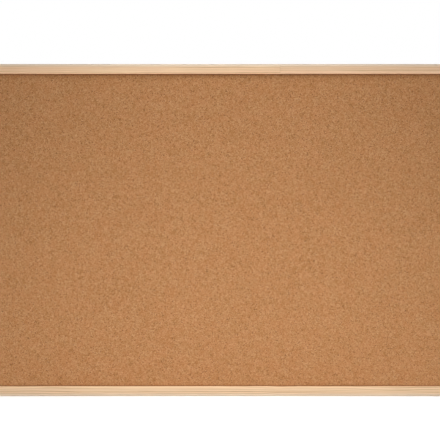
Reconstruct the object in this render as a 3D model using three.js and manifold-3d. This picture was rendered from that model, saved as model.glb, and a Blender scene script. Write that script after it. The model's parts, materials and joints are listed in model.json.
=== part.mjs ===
// A framed cork pin board, 600 by 400 mm, in millimetres with +Z up.
// Four grooved pine rails, mitred and stapled at the corners, hold a cork sheet glued to a softboard core.
// The cork faces -Y. The origin is the middle of the bottom edge, half-way through the rail's depth.
import * as THREE from 'three';
import { mergeVertices } from 'three/addons/utils/BufferGeometryUtils.js';
import Module from 'manifold-3d';

const wasm = await Module();
wasm.setup();

// The board, outside the frame
const BOARD_WIDTH = 600;
const BOARD_HEIGHT = 400;

// The panel: a cork sheet glued to a softboard core
const CORK_THICKNESS = 3;
const CORE_THICKNESS = 6;
const GLUE_LINE = 0.1;

// The rail's section: a lip in front of the cork, a groove for the panel and a lip behind it
const RAIL_FACE = 12;
const FRONT_LIP = 3;
const BACK_LIP = 3.7;
const GROOVE_DEPTH = 4.5;
const PANEL_CLEARANCE = 0.1;
const PANEL_EDGE_GAP = 0.4;
const OUTER_ROUND = 3;
const INNER_ROUND = 0.8;
const BACK_ROUND = 0.5;
const MITRE_GAP = 0.12;

// The finger joint that makes the top rail's length out of two pieces of pine, right of the middle.
// The face shows it as one straight line, half a finger nearer the middle.
const FINGER_JOINT_AT = 77.3;
const FINGER_LENGTH = 10;
const FINGER_PITCH = 4;
const FINGER_TIP = 0.7;
const FINGER_GLUE = 0.2;

// Two wire staples across the back of each mitre, sunk a little below the wood
const STAPLE_CROWN = 10.6;
const STAPLE_LEG = 9;
const STAPLE_THICKNESS = 0.6;
const STAPLE_WIDTH = 1.2;
const STAPLE_SUNK = 0.3;
const STAPLE_CLEARANCE = 0.15;
const STAPLE_EDGE = 1.65;
const STAPLE_SPACING = 3;

// The pan head wood screw of a hanger, with some wood left between it and the groove
const SCREW_DIAMETER = 2.4;
const SCREW_LENGTH = 12;
const SCREW_POINT = 3;
const SCREW_HEAD_DIAMETER = 5;
const SCREW_HEAD_HEIGHT = 1.5;
const SCREW_HEAD_RIM = 0.5;
const SCREW_RECESS_SPAN = 2.8;
const SCREW_RECESS_WIDTH = 0.7;
const SCREW_RECESS_DEPTH = 0.9;
const SCREW_CLEARANCE = 0.15;
const SCREW_WOOD = 0.8;

// A hanger on the back of each side rail: a sheet strap folded round the bar of a swinging wire ring
const HANGER_DROP = 70;
const STRAP_WIDTH = 6.6;
const STRAP_SHEET = 0.6;
const STRAP_FOLD_END = Math.PI / 3;
const STRAP_NECK_BEND = 0.6;
const STRAP_HEAD_GAP = 1.3;
const STRAP_SEAT_GAP = 0.05;
const RING_WIRE = 1.6;
const RING_CLEARANCE = 0.2;
const RING_BEND = 1.2;
const RING_BAR_SPARE = 0.1;
const RING_SIDE_LENGTH = 3.6;
const RING_LEAN_GAP = 0.2;

// How finely the round stretches are divided
const RAIL_ARC_STEPS = 3;
const STAPLE_ARC_STEPS = 2;
const STRAP_ARC_STEPS = 6;
const HEAD_ARC_STEPS = 5;
const ROUND_STEPS = 20;
const RING_STEPS = 56;
const WIRE_STEPS = 8;

// What follows from those sizes
const PANEL_THICKNESS = CORK_THICKNESS + GLUE_LINE + CORE_THICKNESS;
const GROOVE_WIDTH = PANEL_THICKNESS + 2 * PANEL_CLEARANCE;
const GROOVE_BOTTOM = RAIL_FACE - GROOVE_DEPTH;
const RAIL_DEPTH = FRONT_LIP + GROOVE_WIDTH + BACK_LIP;
const RAIL_FRONT_Y = -RAIL_DEPTH / 2;
const RAIL_BACK_Y = RAIL_DEPTH / 2;
const PANEL_INSET = GROOVE_BOTTOM + PANEL_EDGE_GAP;
const OUTER_STAPLE_AT = STAPLE_EDGE + STAPLE_CROWN / 2 / Math.SQRT2;
const INNER_STAPLE_AT = OUTER_STAPLE_AT + STAPLE_SPACING;
const SCREW_HOLE_RADIUS = SCREW_DIAMETER / 2 + SCREW_CLEARANCE;
const LOOP_BORE = RING_WIRE / 2 + RING_CLEARANCE;
const LOOP_RADIUS = LOOP_BORE + STRAP_SHEET;
const STRAP_THICKNESS = 2 * STRAP_SHEET;
const FOLD_BACK = LOOP_RADIUS * (1 + Math.cos(STRAP_FOLD_END));
const FOLD_DROP = LOOP_RADIUS * Math.sin(STRAP_FOLD_END);
const NECK_CORNER_DROP = FOLD_DROP + (FOLD_BACK - STRAP_THICKNESS) / Math.tan(STRAP_FOLD_END);
const STRAP_NECK_DROP = NECK_CORNER_DROP + STRAP_NECK_BEND;
const STRAP_HOLE_DROP = STRAP_NECK_DROP + STRAP_HEAD_GAP + SCREW_HEAD_DIAMETER / 2;
const RING_HALF_WIDTH = STRAP_WIDTH / 2 + RING_BAR_SPARE + RING_BEND;
const RING_CROWN = RING_SIDE_LENGTH + RING_HALF_WIDTH;
const HANGER_INSET = GROOVE_BOTTOM - SCREW_WOOD - SCREW_DIAMETER / 2;
const HANGER_X = BOARD_WIDTH / 2 - HANGER_INSET;
const HINGE_Y = RAIL_BACK_Y + STRAP_SEAT_GAP + LOOP_RADIUS;
const HINGE_HEIGHT = BOARD_HEIGHT - HANGER_DROP;

const QUARTER_TURN = Math.PI / 2;
const X_AXIS = new THREE.Vector3(1, 0, 0);
const Y_AXIS = new THREE.Vector3(0, 1, 0);
const Z_AXIS = new THREE.Vector3(0, 0, 1);

const pine = new THREE.MeshStandardMaterial({ color: 0xe3c197, roughness: 0.6, metalness: 0 });
const cork = new THREE.MeshStandardMaterial({ color: 0xb68156, roughness: 0.9, metalness: 0 });
const softboard = new THREE.MeshStandardMaterial({ color: 0xa58663, roughness: 0.95, metalness: 0 });
const zinc = new THREE.MeshStandardMaterial({ color: 0xc3c5c6, roughness: 0.35, metalness: 1 });

// A closed geometry as a solid that can be cut and joined
function solidOf(geometry) {
  const bare = geometry.clone();
  bare.deleteAttribute('normal');
  bare.deleteAttribute('uv');
  const merged = mergeVertices(bare, 1e-4);
  return new wasm.Manifold(new wasm.Mesh({
    numProp: 3,
    vertProperties: merged.attributes.position.array,
    triVerts: new Uint32Array(merged.index.array),
  }));
}

// A solid as a flat shaded geometry
function geometryOf(solid) {
  const { vertProperties, triVerts } = solid.getMesh();
  const indexed = new THREE.BufferGeometry();
  indexed.setAttribute('position', new THREE.BufferAttribute(vertProperties, 3));
  indexed.setIndex(new THREE.BufferAttribute(triVerts, 1));
  const geometry = indexed.toNonIndexed();
  geometry.computeVertexNormals();
  return geometry;
}

function piece(name, geometry, material) {
  const mesh = new THREE.Mesh(geometry, material);
  mesh.name = name;
  return mesh;
}

// An outline drawn in the plane of two axes and extruded, half each way, along the third
function extruded(outline, depth, steps, [across, up, through]) {
  const geometry = new THREE.ExtrudeGeometry(outline, { depth, bevelEnabled: false, curveSegments: steps });
  geometry.translate(0, 0, -depth / 2);
  return geometry.applyMatrix4(new THREE.Matrix4().makeBasis(across, up, through));
}

// The moulding, seen along a rail: x runs in from the board's outer edge and y back from its face
function railOutline() {
  const grooveBack = FRONT_LIP + GROOVE_WIDTH;
  const outline = new THREE.Shape();
  outline.moveTo(OUTER_ROUND, 0);
  outline.lineTo(RAIL_FACE - INNER_ROUND, 0);
  outline.absarc(RAIL_FACE - INNER_ROUND, INNER_ROUND, INNER_ROUND, -QUARTER_TURN, 0);
  outline.lineTo(RAIL_FACE, FRONT_LIP);
  outline.lineTo(GROOVE_BOTTOM, FRONT_LIP);
  outline.lineTo(GROOVE_BOTTOM, grooveBack);
  outline.lineTo(RAIL_FACE, grooveBack);
  outline.lineTo(RAIL_FACE, RAIL_DEPTH - BACK_ROUND);
  outline.absarc(RAIL_FACE - BACK_ROUND, RAIL_DEPTH - BACK_ROUND, BACK_ROUND, 0, QUARTER_TURN);
  outline.lineTo(BACK_ROUND, RAIL_DEPTH);
  outline.absarc(BACK_ROUND, RAIL_DEPTH - BACK_ROUND, BACK_ROUND, QUARTER_TURN, 2 * QUARTER_TURN);
  outline.lineTo(0, OUTER_ROUND);
  outline.absarc(OUTER_ROUND, OUTER_ROUND, OUTER_ROUND, 2 * QUARTER_TURN, 3 * QUARTER_TURN);
  return outline;
}

// A rail along z: each end vertex moves along the rail by its distance in from the edge, which cuts the mitre
function mitredRail(length) {
  const geometry = new THREE.ExtrudeGeometry(railOutline(), {
    depth: length, bevelEnabled: false, curveSegments: RAIL_ARC_STEPS,
  });
  const glueShare = MITRE_GAP / Math.SQRT2;
  const points = geometry.attributes.position;
  for (let i = 0; i < points.count; i++) {
    const cutBack = points.getX(i) + glueShare;
    points.setZ(i, points.getZ(i) < length / 2 ? cutBack : length - cutBack);
  }
  return solidOf(geometry);
}

// A staple with its legs down and its crown's top at 0, or its slot, which is looser and open at the top
function stapleGeometry(clearance = 0, top = 0) {
  const outer = STAPLE_CROWN / 2 + clearance;
  const inner = STAPLE_CROWN / 2 - STAPLE_THICKNESS - clearance;
  const under = -STAPLE_THICKNESS - clearance;
  const foot = -STAPLE_LEG - clearance;
  const bend = STAPLE_THICKNESS;
  const outline = new THREE.Shape();
  outline.moveTo(-outer, foot + STAPLE_THICKNESS);
  outline.lineTo(-inner, foot);
  outline.lineTo(-inner, under);
  outline.lineTo(inner, under);
  outline.lineTo(inner, foot);
  outline.lineTo(outer, foot + STAPLE_THICKNESS);
  outline.absarc(outer - bend, top - bend, bend, 0, QUARTER_TURN);
  outline.absarc(bend - outer, top - bend, bend, QUARTER_TURN, 2 * QUARTER_TURN);
  return extruded(outline, STAPLE_WIDTH + 2 * clearance, STAPLE_ARC_STEPS, [X_AXIS, Y_AXIS, Z_AXIS]);
}

// A staple's place in the frame of the rail that starts at its corner: square across the mitre
function stapleMatrix(at) {
  return new THREE.Matrix4()
    .makeRotationY(QUARTER_TURN / 2)
    .setPosition(at, RAIL_DEPTH - STAPLE_SUNK, at);
}

// The slots that the staples of both of a rail's corners have made in it
function stapleSlots(length) {
  const nextCorner = new THREE.Matrix4().makeRotationY(QUARTER_TURN).setPosition(0, 0, length);
  const openTop = STAPLE_SUNK + STAPLE_THICKNESS + STAPLE_CLEARANCE;
  return [OUTER_STAPLE_AT, INNER_STAPLE_AT].flatMap((at) => {
    const here = stapleGeometry(STAPLE_CLEARANCE, openTop).applyMatrix4(stapleMatrix(at));
    return [here, here.clone().applyMatrix4(nextCorner)];
  });
}

// The pilot hole of a hanger's screw, bored into the back of a rail
function pilotHole(along) {
  const depth = SCREW_LENGTH - STRAP_THICKNESS;
  return new THREE.CylinderGeometry(SCREW_HOLE_RADIUS, SCREW_HOLE_RADIUS, 2 * depth, ROUND_STEPS)
    .translate(HANGER_INSET, RAIL_DEPTH, along);
}

function railSolid(length, pilotsAt = []) {
  const cuts = [...stapleSlots(length), ...pilotsAt.map(pilotHole)];
  return cuts.reduce((rail, cut) => rail.subtract(solidOf(cut)), mitredRail(length));
}

// One half of the finger joint: all that lies on one side of the fingers, which run through the rail's depth
function fingerSide(direction, jointAt, reach) {
  const middle = jointAt + direction * FINGER_GLUE / 2;
  const root = middle - FINGER_LENGTH / 2;
  const tip = middle + FINGER_LENGTH / 2;
  const flat = FINGER_TIP / 2;
  const fingers = Math.ceil(RAIL_DEPTH / FINGER_PITCH);
  const outline = new THREE.Shape();
  outline.moveTo(-flat, middle + direction * reach);
  for (let finger = 0; finger <= fingers; finger++) {
    const rootAt = finger * FINGER_PITCH;
    const tipAt = rootAt + FINGER_PITCH / 2;
    outline.lineTo(rootAt - flat, root);
    outline.lineTo(rootAt + flat, root);
    outline.lineTo(tipAt - flat, tip);
    outline.lineTo(tipAt + flat, tip);
  }
  outline.lineTo((fingers + 1) * FINGER_PITCH, middle + direction * reach);
  return solidOf(extruded(outline, 3 * RAIL_FACE, 1, [Y_AXIS, Z_AXIS, X_AXIS]));
}

// A rail's meshes: one, or the two lengths that a finger joint joins
function railPieces(name, length, { pilotsAt, jointAt } = {}) {
  const rail = railSolid(length, pilotsAt);
  if (jointAt === undefined) return [piece(name, geometryOf(rail), pine)];
  return [['left', -1], ['right', 1]].map(([side, direction]) => {
    const half = rail.intersect(fingerSide(direction, jointAt, length));
    return piece(`${name}_${side}`, geometryOf(half), pine);
  });
}

// One side of the frame: its rail and the staples of the corner that it starts from
function frameSide({ rail, corner, length, turns, x, z, options }) {
  const side = new THREE.Group();
  side.position.set(x, RAIL_FRONT_Y, z);
  side.rotation.y = turns * QUARTER_TURN;
  side.add(...railPieces(rail, length, options));
  for (const [place, at] of [['outer', OUTER_STAPLE_AT], ['inner', INNER_STAPLE_AT]]) {
    const staple = piece(`staple_${corner}_${place}`, stapleGeometry(), zinc);
    staple.applyMatrix4(stapleMatrix(at));
    side.add(staple);
  }
  return side;
}

// The frame's sides, clockwise from the bottom left corner as seen from the front
function frame() {
  const left = -BOARD_WIDTH / 2;
  const right = BOARD_WIDTH / 2;
  const screwDrop = HANGER_DROP + STRAP_HOLE_DROP;
  const group = new THREE.Group();
  group.add(
    frameSide({
      rail: 'left_rail', corner: 'bottom_left', length: BOARD_HEIGHT, turns: 0, x: left, z: 0,
      options: { pilotsAt: [BOARD_HEIGHT - screwDrop] },
    }),
    frameSide({
      rail: 'top_rail', corner: 'top_left', length: BOARD_WIDTH, turns: 1, x: left, z: BOARD_HEIGHT,
      options: { jointAt: BOARD_WIDTH / 2 + FINGER_JOINT_AT },
    }),
    frameSide({
      rail: 'right_rail', corner: 'top_right', length: BOARD_HEIGHT, turns: 2, x: right, z: BOARD_HEIGHT,
      options: { pilotsAt: [screwDrop] },
    }),
    frameSide({
      rail: 'bottom_rail', corner: 'bottom_right', length: BOARD_WIDTH, turns: 3, x: right, z: 0,
    }),
  );
  return group;
}

// The panel's layers, standing in the grooves
function panel() {
  const width = BOARD_WIDTH - 2 * PANEL_INSET;
  const height = BOARD_HEIGHT - 2 * PANEL_INSET;
  const corkFront = RAIL_FRONT_Y + FRONT_LIP + PANEL_CLEARANCE;
  const coreFront = corkFront + CORK_THICKNESS + GLUE_LINE;
  const sheet = piece('cork_sheet', new THREE.BoxGeometry(width, CORK_THICKNESS, height), cork);
  const core = piece('softboard_core', new THREE.BoxGeometry(width, CORE_THICKNESS, height), softboard);
  sheet.position.set(0, corkFront + CORK_THICKNESS / 2, BOARD_HEIGHT / 2);
  core.position.set(0, coreFront + CORE_THICKNESS / 2, BOARD_HEIGHT / 2);
  const group = new THREE.Group();
  group.add(sheet, core);
  return group;
}

// The strap's section: x runs back from the rail and y up, with the eye of the fold at the hinge.
// The sheet goes round the eye, leaves it on a tangent and bends down along the leaf that it came from.
function strapSection() {
  const end = -STRAP_HOLE_DROP - STRAP_WIDTH;
  const eyeBack = LOOP_RADIUS + LOOP_BORE * Math.cos(STRAP_FOLD_END);
  const eyeDrop = LOOP_BORE * Math.sin(STRAP_FOLD_END);
  const eyeCorner = -eyeDrop - (eyeBack - STRAP_SHEET) / Math.tan(STRAP_FOLD_END);
  const section = new THREE.Shape();
  section.moveTo(0, end);
  section.lineTo(STRAP_THICKNESS, end);
  section.lineTo(STRAP_THICKNESS, -STRAP_NECK_DROP);
  section.quadraticCurveTo(STRAP_THICKNESS, -NECK_CORNER_DROP, FOLD_BACK, -FOLD_DROP);
  section.absarc(LOOP_RADIUS, 0, LOOP_RADIUS, -STRAP_FOLD_END, Math.PI);
  const eye = new THREE.Path();
  eye.absarc(LOOP_RADIUS, 0, LOOP_BORE, -STRAP_FOLD_END, Math.PI);
  eye.lineTo(STRAP_SHEET, eyeCorner);
  section.holes.push(eye);
  return section;
}

// The strap, folded round the ring's bar, with a round end and a hole for its screw
function strapGeometry() {
  const through = 4 * LOOP_RADIUS;
  const plan = new THREE.Shape();
  plan.absarc(0, -STRAP_HOLE_DROP, STRAP_WIDTH / 2, Math.PI, 2 * Math.PI);
  plan.lineTo(STRAP_WIDTH / 2, through);
  plan.lineTo(-STRAP_WIDTH / 2, through);
  const folded = extruded(strapSection(), STRAP_WIDTH, STRAP_ARC_STEPS, [Y_AXIS, Z_AXIS, X_AXIS]);
  const rounded = extruded(plan, through, STRAP_ARC_STEPS, [X_AXIS, Z_AXIS, Y_AXIS.clone().negate()]);
  const hole = new THREE.CylinderGeometry(SCREW_HOLE_RADIUS, SCREW_HOLE_RADIUS, through, ROUND_STEPS)
    .translate(0, 0, -STRAP_HOLE_DROP);
  return geometryOf(solidOf(folded).intersect(solidOf(rounded)).subtract(solidOf(hole)));
}

// A flat loop of wire in the XZ plane
class FlatLoop extends THREE.Curve {
  constructor(path) {
    super();
    this.path = path;
  }

  getPoint(t, target = new THREE.Vector3()) {
    const { x, y } = this.path.getPoint(t);
    return target.set(x, 0, y);
  }
}

// The D ring: a straight bar in the strap's eye, two sides and a half round crown
function ringGeometry() {
  const straight = RING_HALF_WIDTH - RING_BEND;
  const path = new THREE.Path();
  path.moveTo(-straight, 0);
  path.lineTo(straight, 0);
  path.absarc(straight, RING_BEND, RING_BEND, -QUARTER_TURN, 0);
  path.absarc(0, RING_SIDE_LENGTH, RING_HALF_WIDTH, 0, 2 * QUARTER_TURN);
  path.absarc(-straight, RING_BEND, RING_BEND, 2 * QUARTER_TURN, 3 * QUARTER_TURN);
  return new THREE.TubeGeometry(new FlatLoop(path), RING_STEPS, RING_WIRE / 2, WIRE_STEPS, true);
}

// The screw along y, its head's seat at 0 and a cross cut in the head
function screwGeometry() {
  const shank = SCREW_DIAMETER / 2;
  const head = SCREW_HEAD_DIAMETER / 2;
  const outline = new THREE.Path();
  outline.moveTo(0, -SCREW_LENGTH);
  outline.lineTo(shank, SCREW_POINT - SCREW_LENGTH);
  outline.lineTo(shank, 0);
  outline.lineTo(head, 0);
  outline.lineTo(head, SCREW_HEAD_RIM);
  outline.quadraticCurveTo(head, SCREW_HEAD_HEIGHT, 0, SCREW_HEAD_HEIGHT);
  const turned = solidOf(new THREE.LatheGeometry(outline.getPoints(HEAD_ARC_STEPS), ROUND_STEPS));
  const slots = [0, QUARTER_TURN].map((turn) => solidOf(
    new THREE.BoxGeometry(SCREW_RECESS_SPAN, 2 * SCREW_RECESS_DEPTH, SCREW_RECESS_WIDTH)
      .rotateY(turn)
      .translate(0, SCREW_HEAD_HEIGHT, 0),
  ));
  return geometryOf(slots.reduce((screw, slot) => screw.subtract(slot), turned));
}

// A hanger on the back of one side rail: its ring leans up against the rail
function hanger(side, x) {
  const lean = Math.asin((LOOP_RADIUS - RING_WIRE / 2 - RING_LEAN_GAP) / RING_CROWN);
  const strap = piece(`hanger_strap_${side}`, strapGeometry(), zinc);
  strap.position.y = -LOOP_RADIUS;
  const ring = piece(`hanger_ring_${side}`, ringGeometry(), zinc);
  ring.rotation.x = lean;
  const screw = piece(`hanger_screw_${side}`, screwGeometry(), zinc);
  screw.position.set(0, STRAP_THICKNESS + STRAP_SEAT_GAP - LOOP_RADIUS, -STRAP_HOLE_DROP);
  const group = new THREE.Group();
  group.position.set(x, HINGE_Y, HINGE_HEIGHT);
  group.add(strap, ring, screw);
  return group;
}

const board = new THREE.Group();
board.add(frame(), panel(), hanger('left', -HANGER_X), hanger('right', HANGER_X));

export default board;
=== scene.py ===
"""Looks of a framed cork pin board: pine rails round a cork sheet on a softboard core, with wire hangers."""
import json
import math
from contextlib import contextmanager
from functools import partial
from typing import NamedTuple

import bmesh
import bpy
from bpy.props import FloatProperty, FloatVectorProperty, PointerProperty
from mathutils import Matrix, Vector


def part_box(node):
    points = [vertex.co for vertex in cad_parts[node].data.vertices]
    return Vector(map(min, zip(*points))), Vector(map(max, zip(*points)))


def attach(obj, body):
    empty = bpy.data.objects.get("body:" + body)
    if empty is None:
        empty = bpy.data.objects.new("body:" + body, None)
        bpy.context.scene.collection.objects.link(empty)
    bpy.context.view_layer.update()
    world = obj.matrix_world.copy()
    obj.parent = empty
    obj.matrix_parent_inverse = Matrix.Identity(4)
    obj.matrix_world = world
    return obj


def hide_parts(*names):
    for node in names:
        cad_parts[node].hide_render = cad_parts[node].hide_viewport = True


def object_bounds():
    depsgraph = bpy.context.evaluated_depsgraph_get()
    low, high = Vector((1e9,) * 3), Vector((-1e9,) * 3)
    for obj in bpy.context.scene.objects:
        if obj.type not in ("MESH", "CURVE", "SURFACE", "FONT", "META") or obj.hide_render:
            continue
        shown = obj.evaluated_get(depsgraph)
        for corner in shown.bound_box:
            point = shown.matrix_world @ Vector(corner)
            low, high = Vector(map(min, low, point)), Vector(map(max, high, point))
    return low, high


bl_info = {
    "name": "Framed cork pin board",
    "version": (1, 0, 0),
    "blender": (4, 5, 0),
    "location": "3D View > Sidebar > Pin board",
    "description": "Makes the pieces of a framed cork pin board and the stage it stands on",
    "category": "Object",
}

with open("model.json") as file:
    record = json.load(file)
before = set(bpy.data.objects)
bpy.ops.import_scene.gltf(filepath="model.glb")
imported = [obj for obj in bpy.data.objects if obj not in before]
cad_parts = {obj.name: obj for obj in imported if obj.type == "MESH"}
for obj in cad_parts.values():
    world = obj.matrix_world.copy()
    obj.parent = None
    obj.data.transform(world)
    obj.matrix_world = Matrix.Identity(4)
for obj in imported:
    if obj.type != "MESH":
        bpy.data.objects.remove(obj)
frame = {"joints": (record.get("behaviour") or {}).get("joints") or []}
CAD_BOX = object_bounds()

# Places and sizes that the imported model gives, in metres
RAIL_LOW, RAIL_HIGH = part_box("left_rail")
BOARD_LOW = Vector((CAD_BOX[0].x, RAIL_LOW.y, CAD_BOX[0].z))
BOARD_HIGH = Vector((CAD_BOX[1].x, RAIL_HIGH.y, CAD_BOX[1].z))
BOARD_WIDTH = BOARD_HIGH.x - BOARD_LOW.x
BOARD_HEIGHT = BOARD_HIGH.z - BOARD_LOW.z
RAIL_FACE = RAIL_HIGH.x - RAIL_LOW.x
RAIL_DEPTH = RAIL_HIGH.y - RAIL_LOW.y
PANEL_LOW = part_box("cork_sheet")[0]
PANEL_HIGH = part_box("softboard_core")[1]
JOINT_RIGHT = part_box("top_rail_left")[1].x
JOINT_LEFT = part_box("top_rail_right")[0].x
HINGES = {joint["child"]: Vector(joint["pos_m"]) for joint in frame["joints"]}
LEFT_HINGE = HINGES["left_ring"]
RING_LOW, RING_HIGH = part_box("hanger_ring_left")
RING_WIRE = LEFT_HINGE.z - RING_LOW.z
RING_BACK = LEFT_HINGE.y - (RING_LOW.y + RING_WIRE)
RING_UP = RING_HIGH.z - RING_WIRE - LEFT_HINGE.z
STRAP_LOW, STRAP_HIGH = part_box("hanger_strap_left")
SCREW_LOW, SCREW_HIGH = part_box("hanger_screw_left")
SCREW_LEVEL = (SCREW_LOW.z + SCREW_HIGH.z) / 2
STAPLE_LOW, STAPLE_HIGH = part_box("staple_bottom_left_outer")
STAPLE_SPAN = (STAPLE_HIGH.x - STAPLE_LOW.x) * math.sqrt(2)
STAPLE_LEG = STAPLE_HIGH.y - STAPLE_LOW.y

CORNERS = ("bottom_left", "top_left", "top_right", "bottom_right")
SIDES = ("left", "right")
MERGE = 1e-6  # points closer than this become one, in metres
WARP = 0.9  # how far a large granule's outline strays, in its own sizes


class Length(NamedTuple):
    """A length of pine in the frame, and how it differs from the others"""

    piece: str
    node: str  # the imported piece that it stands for
    turns: int  # quarter turns round the board, from the left rail
    seed: int
    pink: float  # how much of its early wood is flushed
    tone: float  # how bright its wood is
    wear_and_sheen: float  # how strongly its outer edge takes the greyer colour: part wear, part painted sheen and shade
    edge: float = 1.0  # how bright that edge's greyer colour is; above 1 it is painted light on an edge that faces down
    peach: float = 0.85  # how strong its warm streaks are
    figure: float = 1.0  # how far its growth lines wander


RAILS = (
    Length("pine_left", "left_rail", 0, seed=1, pink=0.3, tone=0.96, wear_and_sheen=0.5),
    Length("pine_top_left", "top_rail_left", 1, seed=21, pink=0.0, tone=1.02, wear_and_sheen=0.8),
    Length("pine_top_right", "top_rail_right", 1, seed=67, pink=1.0, tone=1.02, wear_and_sheen=0.8),
    Length("pine_right", "right_rail", 2, seed=4, pink=0.6, tone=0.96, wear_and_sheen=0.5),
    # The bottom rail's edge above 1 is painted light on its outer edge, which faces down
    Length(
        "pine_bottom", "bottom_rail", 3, seed=54, pink=0.1, tone=0.88, wear_and_sheen=0.7,
        edge=1.35, peach=0.2, figure=2.0,
    ),
)


def linear(red, green, blue):
    """A colour written in 0 to 255 as scene linear values."""
    return tuple(((part / 255 + 0.055) / 1.055) ** 2.4 for part in (red, green, blue))


def amount(name, description, default, **kind):
    """A property that holds a number of a kind."""
    return FloatProperty(name=name, description=description, default=default, **kind)


length = partial(amount, precision=5, unit="LENGTH")
share = partial(amount, subtype="FACTOR")
power = partial(amount, unit="POWER")
angle = partial(amount, subtype="ANGLE", unit="ROTATION")
optics = partial(amount, unit="CAMERA")


def colour(name, description, red, green, blue):
    """A property that holds a colour."""
    return FloatVectorProperty(
        name=name, description=description, default=linear(red, green, blue), min=0, max=1, subtype="COLOR"
    )


class RailSettings(bpy.types.PropertyGroup):
    """Sizes and colours of the pine rails"""

    outer_round: length("Outer round", "Radius of the face's outer edge", 0.003)
    inner_round: length("Inner round", "Radius of the face's edge beside the cork", 0.0008)
    back_round: length("Back round", "Radius of the edges at the back", 0.0005)
    mitre_gap: length("Mitre gap", "Width of the glue line in a mitre", 0.00004)
    panel_play: length("Panel play", "Room between the panel and the groove's walls", 0.0001)
    panel_edge_play: length("Panel edge play", "Room from the panel's edge to the groove's bottom", 0.0004)
    finger_pitch: length("Finger pitch", "Distance between two fingers of the joint", 0.004)
    finger_tip: length("Finger tip", "Width of the flat at a finger's tip", 0.0007)
    finger_glue: length("Finger glue", "Width of the glue line between the fingers", 0.0002)
    ring_spacing: length("Ring spacing", "Width of a year's growth in the pine", 0.0024)
    # Width of the painted light on the wood beside the cork
    clean: length("Clean edge", "Width of the paler wood beside the cork", 0.0045)
    wear_and_sheen_width: length("Worn width", "Width of the greyer wood along the outer edge", 0.0055)
    pale: colour("Early wood", "Pale wood of a growth ring", 243, 207, 164)
    peach: colour("Peach wood", "Warmer streaks in the pale wood", 238, 195, 156)
    pink: colour("Flushed wood", "Pale wood of a pinker length of pine", 232, 195, 157)
    growth: colour("Late wood", "Darker line at a growth ring's end", 191, 145, 98)
    # Greyer, paler colour of the outer edge: part wear, part painted sheen and shade
    worn: colour("Worn wood", "Greyer wood along the rounded outer edge", 210, 195, 174)
    glue: colour("Glue", "Wood darkened by glue at a joint", 168, 124, 82)


class CorkSettings(bpy.types.PropertyGroup):
    """Sizes and colours of the cork sheet"""

    grain: length("Granule", "Size of a large cork granule", 0.0019)
    grit: length("Grit", "Size of a small cork granule", 0.00095)
    spacing: length("Mesh spacing", "Distance between two points of the sheet's face", 0.0016)
    relief: length("Relief", "Depth of the lowest granules", 0.00022)
    # Width of the painted shade on the cork beside the rails
    edge: length("Edge", "Width of the darker cork beside the rails", 0.0022)
    shade: colour("Dark granules", "The sheet's darker granules", 160, 106, 58)
    body: colour("Granules", "Most of the sheet's granules", 185, 133, 85)
    light: colour("Light granules", "The sheet's lighter granules", 204, 155, 111)
    warm: colour("Warm granules", "Patches of redder granules", 199, 128, 82)
    # The bark colour is also the colour of the painted shade beside the rails
    bark: colour("Bark", "Specks of bark among the granules", 120, 76, 45)


class CoreSettings(bpy.types.PropertyGroup):
    """Sizes and colours of the softboard core"""

    grain: length("Hollow", "Size of a hollow that pressing leaves", 0.022)
    spacing: length("Mesh spacing", "Distance between two points of the board's back", 0.0024)
    relief: length("Relief", "Depth of the hollows that pressing leaves", 0.00012)
    screen: length("Screen", "Pitch of the screen that the board was pressed on", 0.0026)
    pale: colour("Pale fibre", "Light fibres of the softboard", 184, 152, 113)
    dark: colour("Dark fibre", "Dark fibres of the softboard", 132, 101, 69)


class MetalSettings(bpy.types.PropertyGroup):
    """Sizes and colours of the staples and hangers"""

    staple_wire: length("Staple wire", "Width of a staple's flattened wire", 0.0012)
    staple_thickness: length("Staple thickness", "Thickness of a staple's flattened wire", 0.0006)
    play: length("Play", "Room round a staple or a screw in its hole", 0.00015)
    sheet: length("Sheet", "Thickness of a hanger strap's sheet", 0.0006)
    leaf_gap: length("Leaf gap", "Gap between the two leaves of a folded strap", 0.00004)
    screw_shank: length("Screw shank", "Diameter of a screw below its head", 0.0024)
    screw_point: length("Screw point", "Length of a screw's tapered point", 0.003)
    head_height: length("Head height", "Height of a screw's head", 0.0015)
    head_rim: length("Head rim", "Height of a screw head's upright rim", 0.0005)
    recess: length("Recess", "Span of the cross in a screw's head", 0.0028)
    recess_depth: length("Recess depth", "Depth of the cross in a screw's head", 0.0009)
    ring_bend: length("Ring bend", "Radius of a ring's lower corners, at the middle of its wire", 0.0012)
    zinc: colour("Zinc", "Bright zinc plating", 198, 200, 202)
    dull: colour("Dull zinc", "Zinc where it has dulled", 160, 163, 167)


class StageSettings(bpy.types.PropertyGroup):
    """Sizes and light of the stage"""

    lens: optics("Lens", "Focal length", 100)
    sensor: optics("Sensor", "Width of the sensor", 36)
    view_width: length("View width", "Width of the view at the board's face", 0.5289)
    eye_height: length("Eye height", "Height of the camera above the floor", 0.2121)
    floor_size: length("Floor size", "Width of the floor", 8)
    key_power: power("Key power", "Power of the lamp above and in front", 1.22)
    key_angle: angle("Key angle", "Height of the lamp above, as an angle", math.radians(56))
    key_spread: angle("Key spread", "Width of the beam from the lamp above", math.radians(50))
    key_distance: length("Key distance", "Distance from the board to the lamp above", 1.3)
    low_power: power("Low power", "Power of the lamp near the floor in front", 0.98)
    low_tint: colour("Low tint", "Colour of the lamp near the floor", 230, 243, 255)
    low_distance: length("Low distance", "Distance from the board to the lamp near the floor", 0.4)
    back_power: power("Back power", "Power of the lamp behind the board", 7.2)
    side_power: power("Side power", "Power of each lamp at the sides", 8)
    ambient: share("Ambient", "Light that comes from all round", 0.34)
    front_lift: share("Front lift", "White added to the floor in front", 0.42)
    rear_lift: share("Rear lift", "White added to the floor behind", 0.08)
    far_lift: share("Far lift", "White added to the floor far away", 0.86)
    floor_white: colour("Floor", "Colour of the floor", 240, 240, 240)


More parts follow.
